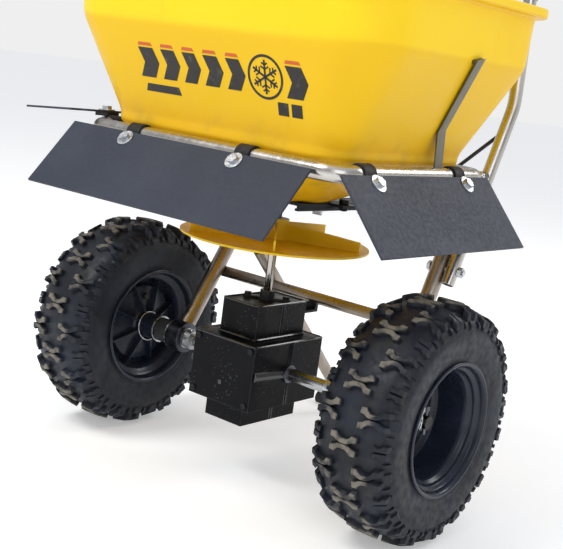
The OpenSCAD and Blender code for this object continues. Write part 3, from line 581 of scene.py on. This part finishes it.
def build_hopper():
    rings = [rounded_rectangle(*r) for r in hopper_rings()]
    verts, faces = rings_to_mesh(rings)
    obj = add_mesh("hopper_shell", verts, faces, "hopper", "chassis",
                   ["hopper"], crisp=60.0)
    # the gate's port and the shaft's hole, through the floor of the outlet
    port = [(20, -17), (58, -17), (58, 17), (20, 17)]
    hole = [(9 * math.cos(k * math.pi / 16), 9 * math.sin(k * math.pi / 16)) for k in range(32)]
    cutters = [block(outline, 420, 432, at) for outline in (port, hole)]
    tilt = Matrix.Rotation(STRAP_LEAN, 3, "X")
    slot = [(-10, -10.8), (10, -10.8), (10, 10.8), (-10, 10.8)]
    for side in (-1, 1):
        # slot that the side strap's hooked end goes through
        middle = Vector((side * STRAP_SLOT[0], *STRAP_SLOT[1:]))
        cutters.append(block(slot, -2.4, 2.4, lambda x, y, z, middle=middle:
                             at(*(middle + tilt @ Vector((x, y, z))))))
    cut(obj, cutters)


build_hopper()


# ---------------------------------------------------------------- graphic on the front

def on_front(u, v, w):
    """u mm across and v mm up the front slope, w mm off it."""
    slope = Vector((0.0, -46.0, 130.0)).normalized()
    out = Vector((0.0, -130.0, -46.0)).normalized()
    return at(*(Vector((u, -161.0, BAND)) + slope * v + out * w))


BARS = ((-126, -90), (-83, -50), (-43, -12), (-5, 28), (35, 66), (134, 168))
BAR_LOW, BAR_HIGH = 57.0, 98.0
CRYSTAL = (101.0, 80.0)


def printed(shape):
    """A flat shape as a layer of ink on the front slope."""
    return block(shape, 0.05, 0.30, on_front)


def crystal_arm(angle, length, half, offset=0.0, tilt=0.0):
    """A thin bar, offset along an arm of the ice crystal and turned by tilt from it."""
    c, s = math.cos(angle + tilt), math.sin(angle + tilt)
    ox, oy = CRYSTAL[0] + math.cos(angle) * offset, CRYSTAL[1] + math.sin(angle) * offset
    return [(ox + c * t - s * h, oy + s * t + c * h)
            for t, h in ((0, -half), (length, -half), (length, half), (0, half))]


def crystal_ring(inner, outer):
    rings = []
    for r, w in ((outer, 0.05), (outer, 0.30), (inner, 0.30), (inner, 0.05)):
        turns = [2 * math.pi * k / 48 for k in range(48)]
        rings.append([on_front(CRYSTAL[0] + r * math.cos(a), CRYSTAL[1] + r * math.sin(a), w)
                      for a in turns])
    return rings_to_mesh(rings, loop=True)


def build_graphic():
    """A generic row of slanted bars with an ice crystal in a ring."""
    dark, warm = [], []
    middle = (BAR_LOW + BAR_HIGH) / 2
    for x0, x1 in BARS:
        dark.append(printed([(x0, BAR_LOW), (x1 - 8, BAR_LOW), (x1 + 2, middle),
                             (x1 - 8, BAR_HIGH), (x0, BAR_HIGH), (x0 + 10, middle)]))
        cap = [(x0, BAR_HIGH + 2.5), (x1 - 8, BAR_HIGH + 2.5), (x1 - 11, BAR_HIGH + 7),
               (x0 + 2, BAR_HIGH + 7)]
        warm.append(block(cap, 0.05, 0.28, on_front))
    dark.append(crystal_ring(25.5, 29.0))
    for k in range(6):
        angle = math.pi / 3 * k + math.pi / 6
        dark.append(printed(crystal_arm(angle, 22.0, 1.5)))
        for tilt in (-math.pi / 3, math.pi / 3):
            for offset, length in ((10.0, 7.5), (15.5, 5.5)):
                dark.append(printed(crystal_arm(angle, length, 1.1, offset, tilt)))
    dark.append(printed([(-120, 37), (-52, 37), (-56, 48), (-116, 48)]))
    for x0 in (118, 140):
        dark.append(printed([(x0, 33), (x0 + 17, 33), (x0 + 17, 50), (x0, 50)]))
    for name, parts, ink in (("front_graphic_dark", dark, "ink_dark"),
                             ("front_graphic_warm", warm, "ink_warm")):
        verts, faces = join_parts(parts)
        add_mesh(name, verts, faces, ink, "chassis")


build_graphic()


# ---------------------------------------------------------------- wheels

WHEEL_X, TYRE_HALF, TREAD_R, LUGS = 281.0, 58.0, 164.0, 13
PITCH = 2 * math.pi / LUGS


def crown(h):
    """Radius of the lug tops at a distance h from the middle of the tread."""
    h = abs(h)
    return 168.0 - 0.0022 * h * h if h < 38 else 164.8 - (h - 38) * 0.46


def carcass_at(h):
    """Radius of the tyre between its lugs."""
    h = abs(h)
    return 160.0 - 0.0030 * h * h if h < 36 else 156.1 - (h - 36) * 0.55


def lug(outline, h0, phase, place, top=crown):
    """One raised block: outline in (across, round) mm about (h0, phase)."""
    n = len(outline)
    cu = sum(p[0] for p in outline) / n
    cv = sum(p[1] for p in outline) / n
    rings = []
    for grow, level in ((1.2, 0), (0.15, 1), (-0.8, 2)):
        ring = []
        for i, (u, v) in enumerate(outline):
            a, b = Vector(outline[i - 1]), Vector(outline[(i + 1) % n])
            tangent = (b - a).normalized()
            outward = Vector((tangent.y, -tangent.x))
            if outward.dot(Vector((u - cu, v - cv))) < 0 and n < 6:
                outward = -outward
            uu, vv = u + outward.x * grow, v + outward.y * grow
            h = h0 + uu
            if level == 0:
                r = carcass_at(h) - 2.5
            else:
                r = top(h) - (1.0 if level == 1 else 0.0)
            ring.append(place(h, phase + vv / TREAD_R, r))
        rings.append(ring)
    return rings_to_mesh(rings)


# one half of the paired, bowed lug, (across, round): a bar with a square knob at each end
BOW = [(-19.4, 5.6), (-13.2, 4.6), (-9.0, 2.2), (-4.0, 0.8), (4.0, 0.8), (9.0, 2.2),
       (13.2, 4.6), (19.4, 5.6), (19.0, 12.6), (11.8, 13.0), (9.4, 9.6), (4.5, 6.6),
       (-4.5, 6.6), (-9.4, 9.6), (-11.8, 13.0), (-19.0, 12.6)]
# notched knob on a shoulder, and the knobs and ribs up a sidewall within one pitch:
# (share of the pitch, width, lowest and highest radius)
NOTCHED = [(-8.0, 1.0), (7.0, 0.8), (7.6, 9.4), (2.0, 10.0), (0.2, 6.8), (-4.0, 6.6), (-8.2, 9.6)]
SIDE_KNOBS = ((0.0, 12.0, 137.0, 150.5), (0.25, 5.0, 139.0, 149.5), (0.5, 11.0, 138.0, 150.0),
              (0.75, 5.0, 139.0, 149.5))


def bow(scale_u, scale_v, flip, skew=0.0):
    points = [(u * scale_u, v * scale_v * flip + skew * u) for u, v in BOW]
    return points if flip > 0 else points[::-1]


def notched(e, flip):
    points = [(u * e, v * flip) for u, v in NOTCHED]
    return points[::-1] if e * flip < 0 else points


def tyre_mesh(side, first):
    x0 = side * WHEEL_X

    def place(h, angle, r):
        return at(x0 + side * h, r * math.sin(angle), AXLE_Z - r * math.cos(angle))

    # outline from the bead up the sidewall to the middle of the tread, (radius, across)
    half = [(90.0, 46.5), (90.3, 50.0), (91.5, 52.6), (94.0, 53.6), (96.4, 53.0), (98.0, 53.6),
            (101.0, 55.0), (103.0, 54.6), (105.0, 55.4), (112.0, 56.8), (120.0, 57.4),
            (128.0, 57.5), (133.0, 57.0), (135.0, 56.0), (139.0, 55.2), (143.0, 53.6),
            (147.5, 50.6), (151.5, 46.4), (154.4, 41.0), (156.3, 35.0), (158.0, 26.0),
            (159.3, 14.0), (160.0, 0.0)]
    outer = half + [(r, -h) for r, h in reversed(half[:-1])]
    inner = [(97.0, -46.0), (128.0, -50.0), (150.0, -30.0), (152.0, 0.0), (150.0, 30.0),
             (128.0, 50.0), (97.0, 46.0)]
    parts = [revolve_x(outer + inner, x0, side, 156)]
    for k in range(LUGS):
        a = first + k * PITCH
        for flip in (-1, 1):
            parts.append(lug(bow(1.0, 0.96, flip), 0.0, a, place))
        for e in (-1, 1):
            # outer rows, half a step on
            for flip in (-1, 1):
                parts.append(lug(bow(0.92, 1.04, flip, -0.06 * e), e * 34.0, a + PITCH / 2, place))
            # notched knob on each shoulder, in line with the middle row
            for flip in (-1, 1):
                parts.append(lug(notched(e, flip), e * 48.6, a, place,
                                 lambda h: carcass_at(h) + 6.4))
            # sidewall knobs, the first in line with the outer rows
            for share, wide, r0, r1 in SIDE_KNOBS:
                parts.append(side_bar(place, e, a + PITCH * (0.5 + share), wide, r0, r1))
    return join_parts(parts)


def wall_at(r):
    """How far out the sidewall stands at radius r."""
    points = ((128.0, 57.5), (133.0, 57.0), (139.0, 55.2), (143.0, 53.6), (147.5, 50.6),
              (151.5, 46.4))
    for (r0, h0), (r1, h1) in zip(points, points[1:]):
        if r <= r1:
            return h0 + (h1 - h0) * (r - r0) / (r1 - r0)
    return points[-1][1]


def side_bar(place, e, angle, wide, r0, r1):
    """A bar that lies up the sidewall from r0 to r1, no further out than the tyre."""
    rings = []
    steps = 5
    for k in range(steps + 1):
        r = r0 + (r1 - r0) * k / steps
        h = wall_at(r)
        lift = min(3.4, TYRE_HALF - h) if 0 < k < steps else 0.8
        w = wide / 2 / r
        rings.append([place(e * reach, angle + turn, r)
                      for reach, turn in ((h - 2.0, -w * 1.25), (h + lift, -w),
                                          (h + lift, w), (h - 2.0, w * 1.25))])
    return rings_to_mesh(rings)


def rim_mesh(side):
    x0 = side * WHEEL_X
    profile = [(93.4, 57.0), (93.8, 54.6), (92.4, 52.8), (90.0, 52.0), (89.3, 48.0), (89.3, 41.0),
               (79.2, 36.5), (76.2, 28.0), (76.2, -30.0), (79.2, -36.5), (89.3, -41.0),
               (89.3, -48.0), (90.0, -52.0), (92.4, -52.8), (93.8, -54.6), (93.4, -57.0),
               (90.6, -57.4), (87.6, -55.0), (86.2, -50.0), (85.6, -44.0), (82.0, -41.5),
               (76.0, -38.0), (73.2, -31.0), (73.0, -15.0), (68.0, -16.4), (64.0, -18.0),
               (61.0, -26.0), (32.0, -30.0), (24.0, -32.0), (20.4, -35.0), (20.0, -70.0),
               (18.8, -71.0), (9.62, -71.0), (9.62, 9.0), (18.0, 9.0), (19.2, 7.8),
               (19.4, -18.0), (22.0, -22.6), (31.0, -25.6), (58.0, -22.6), (62.6, -20.4),
               (64.4, -15.4), (68.0, -12.2), (72.4, -10.2), (73.0, -7.0), (73.2, 30.0),
               (75.0, 35.4), (77.6, 38.0), (79.4, 40.6), (80.0, 44.4), (83.4, 46.6),
               (85.6, 48.4), (86.4, 52.0), (87.8, 55.4), (90.6, 57.4)]
    parts = [revolve_x(rounded(profile, 1.1, steps=2), x0, side, 112)]
    for k in range(8):
        a = math.radians(22.5 + 45 * k)
        c, s = math.cos(a), math.sin(a)

        def place(r, h, w, c=c, s=s):
            return at(x0 + side * h, r * s + w * c, AXLE_Z - r * c + w * s)

        gusset = [(19.0, -44.0), (19.0, -30.0), (40.0, -28.0), (61.0, -25.0), (72.8, -14.0),
                  (72.8, -27.0), (66.0, -32.0), (40.0, -39.0)]
        parts.append(block(gusset, -1.4, 1.4, place))
    return join_parts(parts)


for wheel, side, body, first in (("right", 1, "drive_axle", math.radians(-5.3)),
                                 ("left", -1, "idle_wheel", math.radians(7.2))):
    verts, faces = tyre_mesh(side, first)
    add_mesh(f"tyre_{wheel}_tread", verts, faces, "tyre", body,
             [f"tyre_{wheel}"], crisp=38.0)
    verts, faces = rim_mesh(side)
    add_mesh(f"rim_{wheel}_dish", verts, faces, "rim", body, [f"rim_{wheel}"],
             crisp=42.0)


def hairpin(x, body, name):
    """Wire clip through the end pin: an eye and two legs."""
    side = 1 if x > 0 else -1
    turns = [math.radians(-60 + 300 * k / 14) for k in range(15)]
    eye = [Vector((x + side * 2.0, -19.0 - 6.5 * math.cos(a), AXLE_Z - 2 + 6.5 * math.sin(a)))
           for a in turns]
    start = Vector((x, -3.0, AXLE_Z + 17.5))
    path = [start, start.lerp(eye[0], 0.35) + Vector((0, -2, 3)), start.lerp(eye[0], 0.7)] + eye
    path += [Vector((x + side * 1.0, -9.0, AXLE_Z + 2.0)), Vector((x, -11.0, AXLE_Z + 12.0)),
             Vector((x, -6.0, AXLE_Z + 21.0))]
    verts, faces = sweep([at(*p) for p in path], 1.05, sides=10)
    add_mesh(name, verts, faces, "zinc", body)


HAIRPIN_X = 297.0
hairpin(HAIRPIN_X, "drive_axle", "hairpin_right")
hairpin(-HAIRPIN_X, "drive_axle", "hairpin_left")


def wire_ring():
    """Loose snap ring that hangs on the idle wheel's hub."""
    hub_x, radius, sag = -236.0, 23.0, 1.9
    turns = [2 * math.pi * k / 40 for k in range(40)]
    loop = [at(hub_x + 2.5 * math.cos(a), radius * math.sin(a),
               AXLE_Z - sag - radius * math.cos(a)) for a in turns]
    verts, faces = sweep(loop, 0.9, sides=8, loop=True)
    add_mesh("hub_wire_ring", verts, faces, "zinc", "idle_wheel")


wire_ring()


# ---------------------------------------------------------------- tubes

# bend points of the right-hand tubes; the end of the handle tube is the handle bar's middle
HANDLE_ROUTE = ((220.5, 134.6, 330), (220.5, 246, 594), (212, 254, 770), (212, 520, 985))
LOWER_ROUTE = ((163, 0, AXLE_Z), (197, 124.3, 301.5), (197, 174, 420))
CABLE_ROUTE = ((39, 165, 407), (39, 272, 407), (203, 272, 560), (203, 272, 735), (188, 436, 875))


def build_tubes():
    for name, s in (("left", -1), ("right", 1)):
        # stops 3 mm short of the bar's middle
        points = [(s * x, y, z) for x, y, z in HANDLE_ROUTE]
        top = Vector(points[-1]) - Vector(points[-2])
        points[-1] = tuple(Vector(points[-1]) - top.normalized() * 3.0)
        verts, faces = sweep(path_of(points, 70, 14), 10.0, 1.6)
        add_mesh(f"handle_tube_{name}_bent", verts, faces, "stainless", "chassis",
                 [f"handle_tube_{name}"])
        # starts 20 mm up from the axle, in its housing
        points = [(s * x, y, z) for x, y, z in LOWER_ROUTE]
        first = Vector(points[1]) - Vector(points[0])
        points[0] = tuple(Vector(points[0]) + first.normalized() * 20.0)
        verts, faces = sweep(path_of(points, 60, 14), 12.5, 1.6, 36)
        add_mesh(f"lower_tube_{name}_bent", verts, faces, "warm_reflection_steel", "chassis",
                 [f"lower_tube_{name}"])


build_tubes()


def build_cable():
    """The sheath, with a two-step ferrule at each end."""
    route = path_of(CABLE_ROUTE, 34, 12)
    parts = [sweep(route, 3.0, 0.9, 16)]
    for i, j, out in ((0, 1, 4.2), (-1, -2, 4.0)):
        along = (route[j] - route[i]).normalized()
        for a, b, r in ((-0.004, 0.010, out), (0.010, 0.018, out - 0.7)):
            parts.append(sweep([route[i] + along * a, route[i] + along * b], r, 1.2, 20))
    verts, faces = join_parts(parts)
    add_mesh("cable_sheath_lead", verts, faces, "plastic", "chassis",
             ["cable_sheath"])


build_cable()


def build_grips():
    """A ribbed sleeve on each half of the bar, 60 to 195 mm from its middle."""
    profile = [(10.05, 60.0), (15.9, 60.0), (15.9, 64.0)]
    for h in range(66, 188, 6):
        profile += [(14.4, h), (15.3, h + 1.0), (15.3, h + 3.4), (14.4, h + 4.4)]
    profile += [(14.4, 190.0), (15.9, 191.0), (15.9, 194.0), (14.6, 195.0), (10.05, 195.0)]
    parts = [revolve_x(profile, 0.0, s, 40, HANDLE_ROUTE[-1][1:]) for s in (-1, 1)]
    verts, faces = join_parts(parts)
    add_mesh("handle_grips_ribbed", verts, faces, "grip", "chassis",
             ["handle_grips"], crisp=50.0)


build_grips()


def box_of(name):
    """A CAD node's lowest and highest corner, in mm from the axle's middle on the floor."""
    low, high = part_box(name)
    return [(c - h) / MM for c, h in zip(low, HOME)], [(c - h) / MM for c, h in zip(high, HOME)]


def bead(path, radius, loop=False):
    return sweep([at(*p) for p in path], radius, sides=10, loop=loop)


def build_gearbox_lips():
    """Cast beads along the steps, on both sides of the seam and over the axle."""
    low, high = box_of("gearbox_front")[0], box_of("gearbox_rear")[1]
    y0, y1, top = low[1], high[1], high[2]
    # half widths of the wide tier, the narrow tier above it and the sump below it
    x, ux, sump_x = 58.3, 34.0, 35.0
    uy0, uy1 = -57.0, 54.0
    tier_top, tier_low, sump = 216.4, 119.8, 90.0
    parts = []

    def frame_round(hx, ya, yb, z, r, corner):
        loop = rounded([(hx, ya, z), (hx, yb, z), (-hx, yb, z), (-hx, ya, z)], corner, steps=4)
        dense = []
        for i, p in enumerate(loop):
            q = loop[(i + 1) % len(loop)]
            n = max(1, int(math.dist(p, q) / 8))
            dense += [tuple(a + (b - a) * k / n for a, b in zip(p, q)) for k in range(n)]
        parts.append(bead(dense, r, True))

    frame_round(ux - 0.4, uy0 + 0.4, uy1 - 0.4, top - 1.7, 1.7, 3.0)
    frame_round(ux + 1.0, uy0 - 1.0, uy1 + 1.0, tier_top + 1.2, 2.4, 4.0)
    frame_round(x - 1.0, y0 + 1.0, y1 - 1.0, tier_top - 1.2, 1.9, 3.0)
    frame_round(sump_x + 0.6, -66.6, 57.6, tier_low - 0.6, 1.8, 3.0)
    for s in (-1, 1):
        for y in (-2.6, 2.6):
            parts.append(bead([(s * (ux - 0.3), y, tier_top), (s * (ux - 0.3), y, top - 2)], 1.6))
            parts.append(bead([(s * (x - 0.3), y, tier_low + 1),
                               (s * (x - 0.3), y, tier_top - 1)], 1.6))
            parts.append(bead([(s * (sump_x - 0.3), y, sump + 1),
                               (s * (sump_x - 0.3), y, tier_low)], 1.6))
        # rounded gusset that runs forward from the axle boss
        parts.append(bead([(s * (x - 2.0), y0 + 3.0, AXLE_Z + 4.0),
                           (s * (x - 3.0), -14.0, AXLE_Z)], 7.5))
    # plug in the middle of the front
    parts.append(bead([(0.0, y0 + 1.0, 150.0), (0.0, y0 - 0.9, 150.0)], 3.4))
    verts, faces = join_parts(parts)
    add_mesh("gearbox_lips", verts, faces, "gearbox_lip", "chassis")


build_gearbox_lips()


KNOB = (188.0, 470.0, 1036.0)


def build_knob():
    """Moulded ball knob over the lever's end: a collar, a ball and a flat crown."""
    x, y, z = KNOB
    profile = [(4.0, -19.0), (6.6, -18.4), (7.0, -15.0), (6.8, -12.8), (9.6, -10.8), (12.6, -7.2),
               (14.2, -2.4), (14.2, 2.4), (12.6, 7.0), (9.6, 10.6), (6.0, 13.0), (3.0, 13.8)]
    rings = [[at(x + r * math.cos(a), y + r * math.sin(a), z + h)
              for a in (2 * math.pi * k / 32 for k in range(32))]
             for r, h in rounded(profile, 1.2, closed=False, steps=3)]
    verts, faces = rings_to_mesh(rings)
    add_mesh("lever_knob", verts, faces, "plastic", "lever")


build_knob()


# ---------------------------------------------------------------- CAD nodes that stay

STAYING = {
    "stainless": ("hopper_bracket_left hopper_bracket_right ring_tube ring_brackets handle_bar "
                  "spinner_shaft"),
    "warm_reflection_steel": "crossbar stand_leg",
    "housing": "axle_housing_left axle_housing_right",
    "strap": "hopper_strap_left hopper_strap_right",
    "axle": "axle",
    "zinc": ("hopper_bolts frame_bolts bearing_left bearing_right axle_collars lock_rings "
             "spinner_pin flap_front_bolts flap_right_bolts flap_left_bolts gate_plate"),
    "dull_zinc_painted_shade": "axle_washers hub_pins",
    "gear": "crown_gear pinion agitator control_lever",
    "gearbox": "gearbox_front gearbox_rear",
    "powder": "gate_guide gate_guide_screws lever_bracket gearbox_screws gearbox_stay",
    "plastic": "shaft_bushing axle_spacers",
    "grip": "stand_foot flap_front_clips flap_right_clips flap_left_clips valve_left valve_right",
    "flap": "flap_front flap_right flap_left",
    "spinner": "spinner_disc",
}
# bevel widths in mm; the rest of the nodes take PLAIN_BEVEL
PLAIN_BEVEL = 0.45
BEVEL = {"gearbox_front": 1.6, "gearbox_rear": 1.6, "spinner_disc": 0.9, "stand_foot": 2.0,
         "gate_guide": 0.6, "lever_bracket": 1.2, "axle_spacers": 1.2, "axle_collars": 0.8,
         "control_lever": 0.7}
NO_BEVEL = {"crossbar", "ring_brackets", "ring_tube", "spinner_shaft"}
FLAT = {"flap_front", "flap_right", "flap_left"}

for material, names in STAYING.items():
    for name in names.split():
        node = frame["nodes"][name]
        node.data.materials.clear()
        node.data.materials.append(MAT[material])
        if "custom_normal" in node.data.attributes:
            node.data.attributes.remove(node.data.attributes["custom_normal"])
        for p in node.data.polygons:
            p.use_smooth = name not in FLAT
        weld = node.modifiers.new("weld", "WELD")
        weld.merge_threshold = 2e-6
        if name not in NO_BEVEL | FLAT:
            width = BEVEL.get(name, PLAIN_BEVEL)
            soften(node, width, 3 if width > 1.5 else 2)


# ---------------------------------------------------------------- floor, light, world

def stage_and_light():
    """A pale floor, a grey room that is bright at the floor and overhead, and three lamps."""
    mesh = bpy.data.meshes.new("floor")
    mesh.from_pydata([(-30, -30, 0), (30, -30, 0), (30, 30, 0), (-30, 30, 0)], [], [(0, 1, 2, 3)])
    floor = bpy.data.objects.new("floor", mesh)
    SCENE.collection.objects.link(floor)
    s = Shader("floor_pale", (0.90, 0.90, 0.90), 0.9, Specular_IOR_Level=0.1,
               Emission_Color=(1.0, 1.0, 1.0, 1.0), Emission_Strength=0.30)
    s.color(s.mix(s.noise(2.0, 2.0), (0.89, 0.89, 0.89), (0.91, 0.91, 0.91)))
    mesh.materials.append(s.mat)

    world = bpy.data.worlds.new("studio")
    world.use_nodes = True
    SCENE.world = world
    tree = world.node_tree
    background = tree.nodes["Background"]
    coord = tree.nodes.new("ShaderNodeTexCoord")
    split = tree.nodes.new("ShaderNodeSeparateXYZ")
    ramp = tree.nodes.new("ShaderNodeValToRGB")
    tree.links.new(coord.outputs["Generated"], split.inputs[0])
    tree.links.new(split.outputs["Z"], ramp.inputs[0])
    tree.links.new(ramp.outputs["Color"], background.inputs["Color"])
    stops = ((0.0, (0.98, 0.98, 0.98)), (0.15, (0.98, 0.98, 0.98)), (0.28, (0.44, 0.43, 0.41)),
             (0.62, (0.50, 0.51, 0.55)), (1.0, (0.92, 0.95, 1.0)))
    for i, (where, color) in enumerate(stops):
        e = ramp.color_ramp.elements[i] if i < 2 else ramp.color_ramp.elements.new(where)
        e.position = where
        e.color = (*color, 1.0)
    background.inputs["Strength"].default_value = 0.88

    centre = at(0, 60, 400)
    for name, where, size, watts, color in (
            ("key", (-1.2, -2.5, 3.2), 1.5, 92.0, (1.0, 0.99, 0.96)),
            ("fill", (2.4, -1.8, 1.4), 1.8, 16.0, (0.96, 0.98, 1.0)),
            ("rim", (1.4, 2.6, 2.0), 1.2, 26.0, (1.0, 1.0, 1.0))):
        data = bpy.data.lights.new(name, "AREA")
        data.size, data.energy, data.color = size, watts, color
        lamp = bpy.data.objects.new(name, data)
        SCENE.collection.objects.link(lamp)
        lamp.location = centre + Vector(where)
        lamp.rotation_mode = "QUATERNION"
        lamp.rotation_quaternion = (centre - lamp.location).to_track_quat("-Z", "Y")
    SCENE.view_settings.view_transform = "Standard"
    SCENE.view_settings.look = "None"


stage_and_light()
